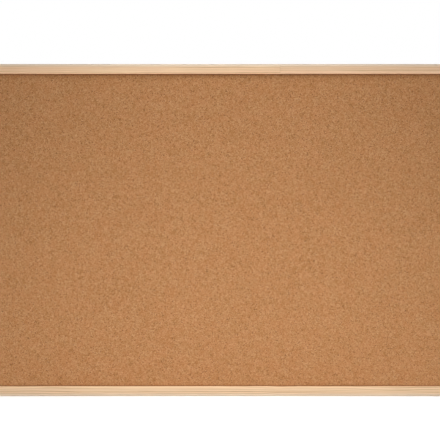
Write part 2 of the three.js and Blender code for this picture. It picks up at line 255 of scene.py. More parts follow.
class PinBoardSettings(bpy.types.PropertyGroup):
    """All settings of the pin board"""

    rails: PointerProperty(type=RailSettings, name="Rails", description="Pine rails")
    cork: PointerProperty(type=CorkSettings, name="Cork", description="Cork sheet")
    core: PointerProperty(type=CoreSettings, name="Core", description="Softboard core")
    metal: PointerProperty(type=MetalSettings, name="Metal", description="Staples and hangers")
    stage: PointerProperty(type=StageSettings, name="Stage", description="Floor, light and camera")


def maths_method(operation, swapped=False):
    """A method that joins a wire and a value in a Math node."""
    def method(self, value):
        return self.graph.maths(operation, *((value, self) if swapped else (self, value)))
    return method


class Wire:
    """A node's output, with Python's operators for the numbers that it carries."""

    def __init__(self, graph, socket):
        self.graph = graph
        self.socket = socket

    def other(self, output):
        """Another output of the same node."""
        return Wire(self.graph, find_socket(self.socket.node.outputs, output))

    def __abs__(self):
        return self.graph.maths("ABSOLUTE", self)

    __add__ = __radd__ = maths_method("ADD")
    __sub__ = maths_method("SUBTRACT")
    __rsub__ = maths_method("SUBTRACT", swapped=True)
    __mul__ = __rmul__ = maths_method("MULTIPLY")
    __truediv__ = maths_method("DIVIDE")
    __rtruediv__ = maths_method("DIVIDE", swapped=True)
    __pow__ = maths_method("POWER")


def find_socket(sockets, key):
    """A socket by its number, its identifier or its name."""
    found = [socket for socket in sockets if socket.identifier == key]
    return found[0] if found else sockets[key]


class Graph:
    """A node tree that is being drawn, on a place that one of its nodes gives."""

    def __init__(self, tree, place=None, output=0):
        self.tree = tree
        tree.nodes.clear()
        self.place = self.node(place, output=output) if place else None

    def node(self, kind, inputs=None, output=0, **settings):
        """Adds a node with its settings and inputs, and gives the wire from one of its outputs."""
        made = self.tree.nodes.new(kind)
        for name, value in settings.items():
            setattr(made, name, value)
        for key, value in (inputs or {}).items():
            socket = find_socket(made.inputs, key)
            if isinstance(value, Wire):
                self.tree.links.new(value.socket, socket)
            else:
                socket.default_value = value
        return Wire(self, find_socket(made.outputs, output)) if len(made.outputs) else None

    def maths(self, operation, *values):
        """A Math node on values and wires."""
        return self.node("ShaderNodeMath", dict(enumerate(values)), operation=operation)

    def vector(self, operation, *values, **inputs):
        """A Vector Math node on vectors and wires."""
        return self.node("ShaderNodeVectorMath", {**dict(enumerate(values)), **inputs}, operation=operation)

    def parts(self, vector=None):
        """The three numbers of a vector or a colour, or else of the place."""
        x = self.node("ShaderNodeSeparateXYZ", {"Vector": vector or self.place}, "X")
        return x, x.other("Y"), x.other("Z")

    def mix(self, factor, first, second):
        """A colour between two others."""
        ends = [value if isinstance(value, Wire) else (*value, 1) for value in (first, second)]
        inputs = {"Factor_Float": factor, "A_Color": ends[0], "B_Color": ends[1]}
        return self.node("ShaderNodeMix", inputs, "Result_Color", data_type="RGBA")

    def noise(self, scale, detail=2, place=None, output="Fac"):
        """Soft noise, about 0.5 on average."""
        inputs = {"Vector": place or self.place, "Scale": scale, "Detail": detail}
        return self.node("ShaderNodeTexNoise", inputs, output)

    def warped(self, scale, reach):
        """The place, pushed about by noise."""
        push = self.vector("SUBTRACT", self.noise(scale, output="Color"), (0.5, 0.5, 0.5))
        return self.vector("ADD", self.place, self.vector("SCALE", push, Scale=reach))

    def shades(self, factor, *stops):
        """A colour that follows a factor through stops, each a place and a colour."""
        shade = self.node("ShaderNodeValToRGB", {"Fac": factor})
        elements = shade.socket.node.color_ramp.elements
        elements.remove(elements[-1])
        for number, (place, tint) in enumerate(stops):
            element = elements.new(place) if number else elements[0]
            element.position = place
            element.color = (*tint, 1)
        return shade

    def smooth(self, value, low, high):
        """A value eased from 0 at low to 1 at high."""
        inputs = {"Value": value, "From Min": low, "From Max": high}
        return self.node("ShaderNodeMapRange", inputs, interpolation_type="SMOOTHSTEP")


class Finish(Graph):
    """A material, drawn on object coordinates."""

    def __init__(self, name):
        self.material = bpy.data.materials.new(name)
        self.material.use_nodes = True
        super().__init__(self.material.node_tree, "ShaderNodeTexCoord", "Object")

    def close(self, height, bump, depth, **inputs):
        """Ends the material in a Principled shader, with a bump of a strength and a depth in metres."""
        raised = {"Strength": bump, "Distance": depth, "Height": height}
        inputs["Normal"] = self.node("ShaderNodeBump", raised)
        names = {key.replace("_", " "): value for key, value in inputs.items()}
        surface = self.node("ShaderNodeBsdfPrincipled", names)
        self.node("ShaderNodeOutputMaterial", {"Surface": surface})
        return self.material


def granules(graph, size, warp):
    """Cork granules of a size: three random numbers for each, and the distance to its edge."""
    inputs = {"Vector": graph.warped(1.1 / size, size * warp), "Scale": 1 / size}
    cells = graph.node("ShaderNodeTexVoronoi", inputs, "Color", feature="F1")
    edges = graph.node("ShaderNodeTexVoronoi", inputs, "Distance", feature="DISTANCE_TO_EDGE")
    return graph.parts(cells), edges


def edge_distances(finish):
    """How far a point lies from the nearer side edge of the board, and from its top or bottom."""
    x, _, z = finish.parts()
    return BOARD_WIDTH / 2 - abs(x), BOARD_HEIGHT / 2 - abs(z - BOARD_HEIGHT / 2)


def pine_finish(rails, rail):
    """Sealed pine with its grain along a rail."""
    finish = Finish(f"{rail.piece}_pine")
    turn = (0, 0 if rail.turns % 2 else math.pi / 2, 0)
    lie = finish.node("ShaderNodeMapping", {"Vector": finish.place, "Rotation": turn})
    along, depth, height = finish.parts(lie)
    half = RAIL_FACE / 2
    middle = (BOARD_HIGH.x - half, BOARD_HIGH.z - half, BOARD_LOW.x + half, BOARD_LOW.z + half)[rail.turns]

    def streaks(stretch, scale, detail=2, shift=0.0):
        """Noise drawn out along the grain."""
        start = (rail.seed * 3.1 + shift, 0, 0)
        return finish.noise(scale, detail, finish.vector("MULTIPLY_ADD", lie, (stretch, 1, 1), start))

    def glued(wood, distance, reach, strength):
        """Wood that glue has darkened within reach of a joint."""
        return finish.mix((1 - finish.smooth(distance, 0.0, reach)) * strength, wood, rails.glue)

    # Growth rings round the heart of the tree, which lies elsewhere for each length
    heart_depth = 0.018 + 0.006 * (rail.seed % 3)
    heart_height = middle + 0.03 - 0.011 * rail.seed
    sway = (streaks(stretch=0.05 * rail.figure, scale=60, detail=1) - 0.5) * (0.006 * rail.figure)
    sway += (streaks(stretch=0.12, scale=260, shift=0.7) - 0.5) * 0.0012
    radius = ((depth + heart_depth) ** 2 + (height - heart_height) ** 2) ** 0.5
    ring = (radius + sway) / rails.ring_spacing
    season = finish.maths("FRACT", ring)
    number = finish.maths("FLOOR", ring) + rail.seed
    year = finish.node("ShaderNodeTexWhiteNoise", {"W": number}, "Value", noise_dimensions="1D")
    darkness = ((0, 0.2), (0.08, 0), (0.55, 0.04), (0.84, 0.9), (0.94, 1), (1, 0.2))
    late = finish.shades(season, *((place, (dark,) * 3) for place, dark in darkness))

    # Wood tones, and the darker lines, fibres and flecks in them
    fibre = streaks(stretch=0.012, scale=2100, detail=3, shift=0.3)
    flecks = finish.smooth(streaks(stretch=0.02, scale=950, shift=1.9), 0.64, 0.74)
    broad = finish.smooth(streaks(stretch=0.025, scale=230, shift=4.3), 0.36, 0.64)
    fade = 0.35 + finish.smooth(streaks(stretch=0.05, scale=120, detail=1, shift=6.1), 0.35, 0.6)
    early = rails.pale + (rails.pink - rails.pale) * rail.pink
    wood = finish.mix(broad * rail.peach, early, rails.peach)
    lines = late * (0.25 + 0.6 * year) * fade * (0.5 + 0.5 * rail.figure)
    for dark in (lines, finish.smooth(fibre, 0.36, 0.7) * 0.13, flecks * 0.25):
        wood = finish.mix(dark, wood, rails.growth)

    # Glue in the joints, painted light on the wood beside the cork, and greyer wood along the outer edge that
    # is part wear, part painted sheen and shade
    if rail.turns == 1:
        joint = JOINT_LEFT if rail.node.endswith("right") else JOINT_LEFT - rails.finger_glue
        wood = glued(wood, abs(along - joint), reach=0.0007, strength=0.16)
    beside, above = edge_distances(finish)
    wood = glued(wood, abs(beside - above), reach=0.0005, strength=0.45)
    # Part wear, part painted sheen and shade: the front of the rounded outer edge turns greyer and paler
    outwards = (height - middle) * (1 if rail.turns < 2 else -1)
    front = 1 - finish.smooth(depth, BOARD_LOW.y + rails.outer_round / 2, BOARD_LOW.y + rails.outer_round * 2)
    worn = finish.smooth(outwards, half - rails.wear_and_sheen_width, half) * front
    # Painted light: the wood beside the cork is made brighter and warmer
    inner = 1 - finish.smooth(outwards, -half, rails.clean - half)
    painted_light_tone = [rail.tone * part for part in (1.12, 1.095, 1.075)]
    wood = finish.vector("MULTIPLY", wood, finish.mix(inner, [rail.tone] * 3, painted_light_tone))
    # The greyer edge colour scaled by the rail's edge brightness; on the bottom rail this is painted light on
    # an edge that faces down
    wood = finish.mix(worn * rail.wear_and_sheen, wood, rails.worn * rail.edge)
    rough = 0.44 + 0.2 * fibre + 0.06 * late
    return finish.close(
        fibre * 0.6 - late * 0.4, bump=0.3, depth=0.0002,
        Base_Color=wood, Roughness=rough, Coat_Weight=0.3, Coat_Roughness=0.45,
    )


def cork_finish(cork):
    """Pressed cork: granules of two sizes, bark among them, dark seams between them, and painted shade beside
    the rails.
    """
    finish = Finish("pressed_cork")
    (tone, _, warmth), seam = granules(finish, cork.grain, WARP)
    (grit, speck, _), _ = granules(finish, cork.grit, warp=0.6)
    cloud = finish.noise(scale=42)
    dust = finish.noise(scale=2600)
    level = 0.5 + (tone - 0.5) * 0.28 + (grit - 0.5) * 0.55 + (cloud - 0.5) * 0.12 + (dust - 0.5) * 0.32
    base = finish.shades(level, (0.1, cork.shade), (0.5, cork.body), (0.92, cork.light))
    patch = finish.smooth(finish.noise(scale=95), 0.35, 0.65)
    base = finish.mix(patch * 0.16 + warmth * 0.1, base, cork.warm)
    specks = finish.smooth(speck, 0.955, 0.975) * 0.75
    seams = (1 - finish.smooth(seam, 0.0, 0.11)) * 0.28
    # Painted shade: the cork darkens towards the bark colour within this width of the rails' inner edges,
    # where the rails' lips shade it
    inwards = finish.maths("MINIMUM", *edge_distances(finish))
    rim = (1 - finish.smooth(inwards, RAIL_FACE, RAIL_FACE + cork.edge)) * 0.7
    for dark in (specks, seams, rim):
        base = finish.mix(dark, base, cork.bark)
    rough = 0.78 + 0.2 * grit
    height = finish.smooth(seam, 0.0, 0.16) * 0.5 + grit * 0.3 + dust * 0.4
    return finish.close(
        height, bump=0.4, depth=0.0003, Base_Color=base, Roughness=rough, Specular_IOR_Level=0.15
    )


def softboard_finish(core):
    """Pressed wood fibre that carries the mark of its screen."""
    finish = Finish("pressed_fibre")
    bent = finish.warped(scale=260, reach=0.006)
    mat = []
    for turn in (0.3, 1.35, 2.4):
        laid = finish.node("ShaderNodeMapping", {"Vector": bent, "Rotation": (0, turn, 0)})
        drawn = finish.vector("MULTIPLY_ADD", laid, (0.08, 1, 1), (turn * 2, 0, 0))
        mat.append(finish.noise(scale=5200, detail=3, place=drawn))
    fibre = finish.maths("MAXIMUM", finish.maths("MAXIMUM", mat[0], mat[1]), mat[2])
    cloud = finish.noise(scale=30, detail=3)
    x, _, z = finish.parts()
    wave = 2 * math.pi / core.screen
    screen = finish.maths("SINE", x * wave) * finish.maths("SINE", z * wave)
    level = finish.smooth(fibre, 0.42, 0.78) * 0.75 + (cloud - 0.5) * 0.34 + screen * 0.06
    base = finish.shades(level, (0.05, core.dark), (0.75, core.pale))
    rough = 0.84 + 0.14 * fibre
    height = fibre * 0.7 + screen * 0.25
    return finish.close(height, bump=0.6, depth=0.0004, Base_Color=base, Roughness=rough)


def zinc_finish(name, metal, brushed):
    """Bright zinc plating, a little dulled, with fine drawing lines along one axis."""
    finish = Finish(name)
    lines = finish.noise(scale=9000, place=finish.vector("MULTIPLY", finish.place, brushed))
    spangle = finish.node("ShaderNodeTexVoronoi", {"Vector": finish.place, "Scale": 900}, "Color")
    flower, _, _ = finish.parts(spangle)
    cloud = finish.noise(scale=420, detail=3)
    worn = finish.smooth(cloud, 0.4, 0.68)
    base = finish.mix(worn * 0.6 + flower * 0.2, metal.zinc, metal.dull)
    rough = 0.24 + 0.14 * worn + 0.08 * flower + 0.1 * lines
    height = lines * 0.5 + cloud * 0.5
    return finish.close(height, bump=0.12, depth=0.0001, Base_Color=base, Roughness=rough, Metallic=1.0)


@contextmanager
def reshaped(mesh):
    """A mesh opened for changes, which it keeps at the end."""
    made = bmesh.new()
    made.from_mesh(mesh)
    yield made
    made.to_mesh(mesh)
    made.free()


def arc(centre, radius, first, last, steps):
    """Points of an arc between two angles, given in degrees."""
    turns = [math.radians(first + (last - first) * step / steps) for step in range(steps + 1)]
    return [(centre[0] + radius * math.cos(turn), centre[1] + radius * math.sin(turn)) for turn in turns]


def loft(sections, looped=False):
    """A closed mesh through sections that all have the same number of points."""
    mesh = bpy.data.meshes.new("loft")
    with reshaped(mesh) as made:
        loops = [[made.verts.new(point) for point in section] for section in sections]
        pairs = list(zip(loops, loops[1:] + loops[:1]))
        for near, far in pairs if looped else pairs[:-1]:
            for corner in range(len(near)):
                after = (corner + 1) % len(near)
                made.faces.new((near[corner], near[after], far[after], far[corner]))
        if not looped:
            made.faces.new(loops[0])
            made.faces.new(loops[-1])
        bmesh.ops.recalc_face_normals(made, faces=made.faces[:])
    return mesh


def lathe(profile, steps):
    """A turned mesh round Y through a profile of radii and heights."""
    around = [2 * math.pi * (step + 0.5) / steps for step in range(steps)]
    return loft([
        [(radius * math.cos(turn), height, radius * math.sin(turn)) for turn in around]
        for radius, height in profile
    ])


def flat_section(half, wide, chamfer):
    """A flat strip's section from half its thickness and half its width, with its corners taken off."""
    edge = chamfer * half
    end = [(half, wide - edge), (half - edge, wide), (edge - half, wide), (-half, wide - edge)]
    return end + [(-first, -second) for first, second in end]


def sweep(path, section, side, looped=False, widths=None):
    """A section carried along a flat path: its first number in the path's plane, its second along side."""
    sections = []
    last = len(path) - 1
    for number, point in enumerate(path):
        before = path[number - 1] if looped or number else point
        after = path[(number + 1) % len(path)] if looped or number < last else point
        across = (after - before).normalized().cross(side)
        width = widths[number] if widths else 1
        sections.append([point + across * first + side * (second * width) for first, second in section])
    return loft(sections, looped)


def add_object(name, data):
    """A new object in the scene, which gives its data its name."""
    data.name = name
    made = bpy.data.objects.new(name, data)
    bpy.context.scene.collection.objects.link(made)
    return made


def bake(piece):
    """Puts the evaluated mesh of a piece in place of its modifiers."""
    evaluated = piece.evaluated_get(bpy.context.evaluated_depsgraph_get())
    mesh = bpy.data.meshes.new_from_object(evaluated)
    piece.modifiers.clear()
    piece.data = mesh
    if not mesh.polygons:
        raise RuntimeError(f"{piece.name} came out empty")


def carve(piece, tools, operation="DIFFERENCE"):
    """Cuts a piece with tools, which are used up."""
    helpers = [add_object(f"{piece.name}_tool", tool) for tool in tools]
    for helper in helpers:
        cut = piece.modifiers.new("cut", "BOOLEAN")
        cut.operation = operation
        cut.solver = "EXACT"
        cut.object = helper
    bake(piece)
    for helper in helpers:
        bpy.data.objects.remove(helper)
    with reshaped(piece.data) as made:
        bmesh.ops.remove_doubles(made, verts=made.verts[:], dist=MERGE)
        bmesh.ops.dissolve_degenerate(made, edges=made.edges[:], dist=MERGE)


def dress(piece, finish, body, nodes, sharp=35):
    """Gives a finished piece its shading and material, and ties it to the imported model."""
    piece.data.materials.clear()
    piece.data.materials.append(finish)
    piece.data.polygons.foreach_set("use_smooth", [True] * len(piece.data.polygons))
    piece.data.set_sharp_from_angle(angle=math.radians(sharp))
    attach(piece, body)
    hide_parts(*nodes)


def new_tree(name, sockets):
    """A Geometry Nodes tree with a geometry in and out, named inputs and a material."""
    tree = bpy.data.node_groups.new(name, "GeometryNodeTree")
    tree.interface.new_socket("Geometry", in_out="OUTPUT", socket_type="NodeSocketGeometry")
    for socket, kind in {"Geometry": "Geometry", **sockets, "Material": "Material"}.items():
        tree.interface.new_socket(socket, in_out="INPUT", socket_type=f"NodeSocket{kind}")
    return tree


def close_tree(graph, geometry, material):
    """Ends a tree in Realize Instances and Set Material."""
    plain = graph.node("GeometryNodeRealizeInstances", {"Geometry": geometry})
    painted = graph.node("GeometryNodeSetMaterial", {"Geometry": plain, "Material": material})
    graph.node("NodeGroupOutput", {"Geometry": painted})


def grow(piece, tree, values):
    """Runs a tree on a piece with values for its inputs, and keeps the result as a plain mesh."""
    modifier = piece.modifiers.new(tree.name, "NODES")
    modifier.node_group = tree
    for item in tree.interface.items_tree:
        if item.in_out == "INPUT" and item.name in values:
            modifier[item.identifier] = values[item.name]
    bake(piece)


def sheet_tree(name, turn, hollow):
    """A tree for one face of a pressed sheet: a grid that stands at Place, with hollows pressed along Y."""
    sizes = dict.fromkeys(("Width", "Height", "Spacing", "Grain", "Relief"), "Float")
    tree = new_tree(name, {**sizes, "Place": "Vector"})
    graph = Graph(tree, "GeometryNodeInputPosition")
    width = graph.node("NodeGroupInput", output="Width")
    height = width.other("Height")
    spacing = width.other("Spacing")
    grid = graph.node("GeometryNodeMeshGrid", {
        "Size X": width, "Size Y": height, "Vertices X": width / spacing, "Vertices Y": height / spacing,
    }, "Mesh")
    stood = graph.node("GeometryNodeTransform", {
        "Geometry": grid, "Translation": width.other("Place"), "Rotation": (turn, 0, 0),
    })
    depth = hollow(graph, width.other("Grain")) * width.other("Relief")
    offset = graph.node("ShaderNodeCombineXYZ", {"Y": depth})
    pressed = graph.node("GeometryNodeSetPosition", {"Geometry": stood, "Offset": offset})
    close_tree(graph, pressed, width.other("Material"))
    return tree


def cork_hollow(graph, size):
    """How deep a point of the cork lies, from 0 to 1, by the granules that its material shows."""
    (level, _, _), edges = granules(graph, size, WARP)
    return 0.15 + level * 0.45 + (1 - graph.smooth(edges, 0.0, 0.18)) * 0.4


def softboard_hollow(graph, size):
    """How far a point of the softboard's back lies in, from 0 to -1."""
    return graph.noise(1 / size, detail=3) * -1


def close_sheet(piece, back):
    """Closes a sheet's face with edges and a flat back at a depth."""
    with reshaped(piece.data) as made:
        rim = [edge for edge in made.edges if edge.is_boundary]
        grown = bmesh.ops.extrude_edge_only(made, edges=rim)["geom"]
        for vert in grown:
            if isinstance(vert, bmesh.types.BMVert):
                vert.co.y = back
        bmesh.ops.edgeloop_fill(made, edges=[
            edge for edge in grown if isinstance(edge, bmesh.types.BMEdge) and edge.is_boundary
        ])
        bmesh.ops.recalc_face_normals(made, faces=made.faces[:])


def press_sheet(name, node, settings, finish, hollow, side):
    """A sheet in a packed one's place, with hollows pressed in its front, side -1, or its back, side 1."""
    low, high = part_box(node)
    middle = (low + high) / 2
    face, back = (low.y, high.y) if side < 0 else (high.y, low.y)
    piece = add_object(name, bpy.data.meshes.new(name))
    grow(piece, sheet_tree(f"{name}_face", -side * math.pi / 2, hollow), {
        "Width": high.x - low.x, "Height": high.z - low.z, "Spacing": settings.spacing,
        "Grain": settings.grain, "Relief": settings.relief,
        "Place": (middle.x, face, middle.z), "Material": finish,
    })
    close_sheet(piece, back)
    dress(piece, finish, "board", [node], sharp=60)


def copies_tree(name):
    """A tree that sets a pattern out at points, each turned by its own attribute."""
    tree = new_tree(name, {"Pattern": "Object"})
    graph = Graph(tree)
    points = graph.node("NodeGroupInput", output="Geometry")
    source = {"Object": points.other("Pattern")}
    pattern = graph.node("GeometryNodeObjectInfo", source, "Geometry", transform_space="ORIGINAL")
    named = {"Name": "turn"}
    turn = graph.node("GeometryNodeInputNamedAttribute", named, "Attribute", data_type="FLOAT_VECTOR")
    copies = graph.node("GeometryNodeInstanceOnPoints", {
        "Points": points, "Instance": pattern, "Rotation": turn,
    })
    close_tree(graph, copies, points.other("Material"))
    return tree


def set_out(name, pattern, spots, finish, nodes, cutter=None):
    """A zinc piece with a copy of a pattern, cut by a cutter, at each spot: a position and a turn about Y."""
    mesh = bpy.data.meshes.new(name)
    mesh.from_pydata([place for place, _ in spots], [], [])
    turns = mesh.attributes.new("turn", "FLOAT_VECTOR", "POINT")
    for number, (_, turn) in enumerate(spots):
        turns.data[number].vector = (0, turn, 0)
    helper = add_object(f"{name}_pattern", pattern)
    if cutter:
        carve(helper, [cutter])
    piece = add_object(name, mesh)
    grow(piece, copies_tree(f"{name}_copies"), {"Pattern": helper, "Material": finish})
    bpy.data.objects.remove(helper)
    dress(piece, finish, "board", nodes)


def rail_matrix(turns):
    """Where a rail starts and how it lies: X runs in from the board's edge, Y back and Z along the rail."""
    x = BOARD_LOW.x if turns in (0, 1) else BOARD_HIGH.x
    z = BOARD_LOW.z if turns in (0, 3) else BOARD_HIGH.z
    return Matrix.Translation((x, BOARD_LOW.y, z)) @ Matrix.Rotation(turns * math.pi / 2, 4, "Y")


def staple_places():
    """A staple's two places in the frame of the rail that starts at its corner."""
    for node in ("staple_bottom_left_outer", "staple_bottom_left_inner"):
        low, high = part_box(node)
        inset = (low.x + high.x) / 2 - BOARD_LOW.x
        yield Vector((inset, high.y - BOARD_LOW.y, inset))


def moulding(rails):
    """A rail's section: the first number runs in from the board's edge, the second back from its face."""
    front = PANEL_LOW.y - BOARD_LOW.y - rails.panel_play
    rear = PANEL_HIGH.y - BOARD_LOW.y + rails.panel_play
    bottom = PANEL_LOW.x - BOARD_LOW.x - rails.panel_edge_play
    outer, inner, back = rails.outer_round, rails.inner_round, rails.back_round
    section = arc((outer, outer), outer, 180, 270, steps=8)
    section += arc((RAIL_FACE - inner, inner), inner, 270, 360, steps=5)
    section += [(RAIL_FACE, front), (bottom, front), (bottom, rear), (RAIL_FACE, rear)]
    section += arc((RAIL_FACE - back, RAIL_DEPTH - back), back, 0, 90, steps=3)
    section += arc((back, RAIL_DEPTH - back), back, 90, 180, steps=3)
    return section


def rail_mesh(rails, span):
    """A rail of a span, mitred at both ends."""
    cut = rails.mitre_gap / math.sqrt(2)
    section = moulding(rails)
    starts = [(inset, depth, inset + cut) for inset, depth in section]
    ends = [(inset, depth, span - inset - cut) for inset, depth in section]
    return loft([starts, ends])


def staple_slots(metal, span):
    """The slots that staples have made in a rail, at both of its corners."""
    crown = STAPLE_SPAN - metal.staple_wire
    play = metal.play
    outer = crown / 2 + play
    inner = crown / 2 - metal.staple_thickness - play
    under = -metal.staple_thickness - play
    foot = -STAPLE_LEG - play
    half = [(outer, -under), (outer, foot), (inner, foot), (inner, under)]
    outline = [(-x, y) for x, y in half] + half[::-1]
    reach = metal.staple_wire / 2 + play
    far_corner = Matrix.Translation((0, 0, span)) @ Matrix.Rotation(math.pi / 2, 4, "Y")
    for place in staple_places():
        lie = Matrix.Translation(place) @ Matrix.Rotation(math.pi / 4, 4, "Y")
        for corner in (Matrix.Identity(4), far_corner):
            slot = loft([[(*point, depth) for point in outline] for depth in (-reach, reach)])
            slot.transform(corner @ lie)
            yield slot


def screw_bore(metal, x, z, low, high, steps):
    """What a screw's hole takes out between two depths."""
    radius = metal.screw_shank / 2 + metal.play
    bore = lathe([(radius, low), (radius, high)], steps)
    bore.transform(Matrix.Translation((x, 0, z)))
    return bore


def pilot_hole(metal, turns):
    """The hole of a hanger's screw in the back of a side rail."""
    low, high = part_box(f"hanger_screw_{SIDES[turns // 2]}")
    x, _, z = (low + high) / 2
    hole = screw_bore(metal, x, z, low.y - metal.play, high.y, steps=24)
    hole.transform(rail_matrix(turns).inverted())
    return hole


def finger_side(rails, side):
    """All that lies on one side of the top rail's finger joint."""
    middle = (JOINT_LEFT + JOINT_RIGHT) / 2 - BOARD_LOW.x + side * rails.finger_glue / 2
    half = (JOINT_RIGHT - JOINT_LEFT + rails.finger_glue) / 2
    flat = rails.finger_tip / 2
    far = middle + side * BOARD_WIDTH
    count = math.ceil(RAIL_DEPTH / rails.finger_pitch)
    outline = [(-flat, far)]
    for finger in range(count + 1):
        root = finger * rails.finger_pitch
        tip = root + rails.finger_pitch / 2
        outline += [(root - flat, middle - half), (root + flat, middle - half)]
        outline += [(tip - flat, middle + half), (tip + flat, middle + half)]
    outline.append(((count + 1) * rails.finger_pitch, far))
    depths = (-RAIL_FACE, 2 * RAIL_FACE)
    return loft([[(depth, *point) for point in outline] for depth in depths])


def staple_mesh(metal):
    """A staple with its crown's top at the origin and its legs down Y."""
    half = metal.staple_thickness / 2
    bend = 0.75 * metal.staple_thickness
    reach = (STAPLE_SPAN - metal.staple_wire) / 2 - half
    path = [(-reach, -STAPLE_LEG)] + arc((bend - reach, -half - bend), bend, 180, 90, steps=6)
    path += arc((reach - bend, -half - bend), bend, 90, 0, steps=6) + [(reach, -STAPLE_LEG)]
    section = flat_section(half, metal.staple_wire / 2, chamfer=0.35)
    return sweep([Vector((x, y, 0)) for x, y in path], section, Vector((0, 0, 1)))


def strap_mesh(metal):
    """A hanger's strap, folded round the ring's bar, whose axis is the origin."""
    fold = 60  # how far below level the front leaf leaves the eye, in degrees
    ease = 0.0001  # how much the bend below the eye is eased, in metres
    steps = 14  # of each leaf's round end
    tip = 0.04  # the part of its width that the round end keeps
    wide = (STRAP_HIGH.x - STRAP_LOW.x) / 2
    middle = STRAP_HIGH.z - LEFT_HINGE.z - metal.sheet / 2
    hole = SCREW_LEVEL - LEFT_HINGE.z
    end = STRAP_LOW.z - LEFT_HINGE.z
    back = STRAP_LOW.y - LEFT_HINGE.y + metal.sheet / 2
    front = back + metal.sheet
    slope = math.radians(fold)
    bend = (front - middle * math.cos(slope)) / math.tan(slope) - middle * math.sin(slope)
    quarter = [math.pi / 2 * step / steps for step in range(steps + 1)]
    tail = [end + (hole - end) * (1 - math.cos(turn)) for turn in quarter]
    path = [(back, height) for height in tail]
    path += arc((0, 0), middle, 180, -fold, steps=20)
    path += [(front + ease, bend + ease), (front, bend - 3 * ease), (front, hole + 4 * ease)]
    path += [(front, height) for height in reversed(tail)]
    widths = []
    for _, height in path:
        below = max(0.0, hole - height)
        widths.append(max(tip, math.sqrt(max(0.0, 1 - (below / wide) ** 2))))
    section = flat_section((metal.sheet - metal.leaf_gap) / 2, wide, chamfer=0.4)
    points = [Vector((0, y, z)) for y, z in path]
    return sweep(points, section, Vector((1, 0, 0)), widths=widths)


def strap_hole(metal):
    """The hole of a screw in both leaves of a strap."""
    reach = 0.004
    return screw_bore(metal, 0, SCREW_LEVEL - LEFT_HINGE.z, -reach, reach, steps=32)


def screw_mesh(metal):
    """A pan head screw along Y, with its head's seat at the origin."""
    point, crown = 0.00005, 0.00002  # radii of the flats at its ends
    chamfer = 0.0001
    head = (SCREW_HIGH.x - SCREW_LOW.x) / 2
    shank = metal.screw_shank / 2
    tail = SCREW_LOW.y - (SCREW_HIGH.y - metal.head_height)
    rise = metal.head_height - metal.head_rim
    profile = [(point, tail), (shank, tail + metal.screw_point), (shank, 0)]
    profile += [(head - chamfer, 0), (head, chamfer)]
    for radius, height in arc((0, 0), 1, 0, 90, steps=10):
        profile.append((max(crown, head * radius), metal.head_rim + rise * height))
    return lathe(profile, steps=48)


def cross_recess(metal):
    """The tapered cross that a driver turns."""
    outline = []
    long, short = metal.recess / 2, metal.recess / 8
    for quarter in range(4):
        turn = Matrix.Rotation(quarter * math.pi / 2, 2)
        outline += [turn @ Vector(point) for point in ((long, -short), (long, short), (short, short))]
    foot, mouth, above = 0.55, 1.05, 0.0002
    heights = ((metal.head_height - metal.recess_depth, foot), (metal.head_height + above, mouth))
    return loft([[(x * size, height, z * size) for x, z in outline] for height, size in heights])


def ring_mesh(metal):
    """A hanger's D ring, its bar along X through the origin, standing up along Z."""
    half = (RING_HIGH.x - RING_LOW.x) / 2 - RING_WIRE
    rise = math.hypot(RING_BACK, RING_UP)
    bend = metal.ring_bend
    straight = half - bend
    path = [(straight * step / 4, 0.0) for step in range(-4, 4)]
    path += arc((straight, bend), bend, 270, 360, steps=8)
    path += arc((0, rise - half), half, 0, 180, steps=40)
    path += arc((-straight, bend), bend, 180, 270, steps=8)[:-1]
    section = arc((0, 0), RING_WIRE, 0, 360, steps=20)[:-1]
    return sweep([Vector((x, 0, z)) for x, z in path], section, Vector((0, 1, 0)), looped=True)


class PINBOARD_OT_rails(bpy.types.Operator):
    """Make the frame's five lengths of pine"""

    bl_idname = "pin_board.rails"
    bl_label = "Pine rails"

    def execute(self, context):
        rails, metal = context.scene.pin_board.rails, context.scene.pin_board.metal
        for rail in RAILS:
            span = BOARD_WIDTH if rail.turns % 2 else BOARD_HEIGHT
            piece = add_object(rail.piece, rail_mesh(rails, span))
            carve(piece, staple_slots(metal, span))
            if rail.turns % 2 == 0:
                carve(piece, [pilot_hole(metal, rail.turns)])
            if rail.turns == 1:
                carve(piece, [finger_side(rails, -1 if rail.node.endswith("left") else 1)], "INTERSECT")
            piece.data.transform(rail_matrix(rail.turns))
            dress(piece, pine_finish(rails, rail), "board", [rail.node])
        return {"FINISHED"}


class PINBOARD_OT_cork(bpy.types.Operator):
    """Make the cork sheet with its granules in relief"""

    bl_idname = "pin_board.cork"
    bl_label = "Cork sheet"

    def execute(self, context):
        cork = context.scene.pin_board.cork
        press_sheet(
            "pressed_cork_sheet", "cork_sheet", cork,
            cork_finish(cork), cork_hollow, side=-1,
        )
        return {"FINISHED"}


class PINBOARD_OT_core(bpy.types.Operator):
    """Make the softboard core behind the cork"""

    bl_idname = "pin_board.core"
    bl_label = "Softboard core"

    def execute(self, context):
        core = context.scene.pin_board.core
        press_sheet(
            "pressed_fibre_core", "softboard_core", core,
            softboard_finish(core), softboard_hollow, side=1,
        )
        return {"FINISHED"}


class PINBOARD_OT_staples(bpy.types.Operator):
    """Set two staples across the back of each mitre"""

    bl_idname = "pin_board.staples"
    bl_label = "Corner staples"

    def execute(self, context):
        metal = context.scene.pin_board.metal
        spots = [
            (rail_matrix(turns) @ place, (turns + 0.5) * math.pi / 2)
            for turns in range(len(CORNERS)) for place in staple_places()
        ]
        finish = zinc_finish("staple_zinc", metal, brushed=(0.3, 1, 1))
        nodes = [f"staple_{corner}_{place}" for corner in CORNERS for place in ("outer", "inner")]
        set_out("wire_staples", staple_mesh(metal), spots, finish, nodes)
        return {"FINISHED"}


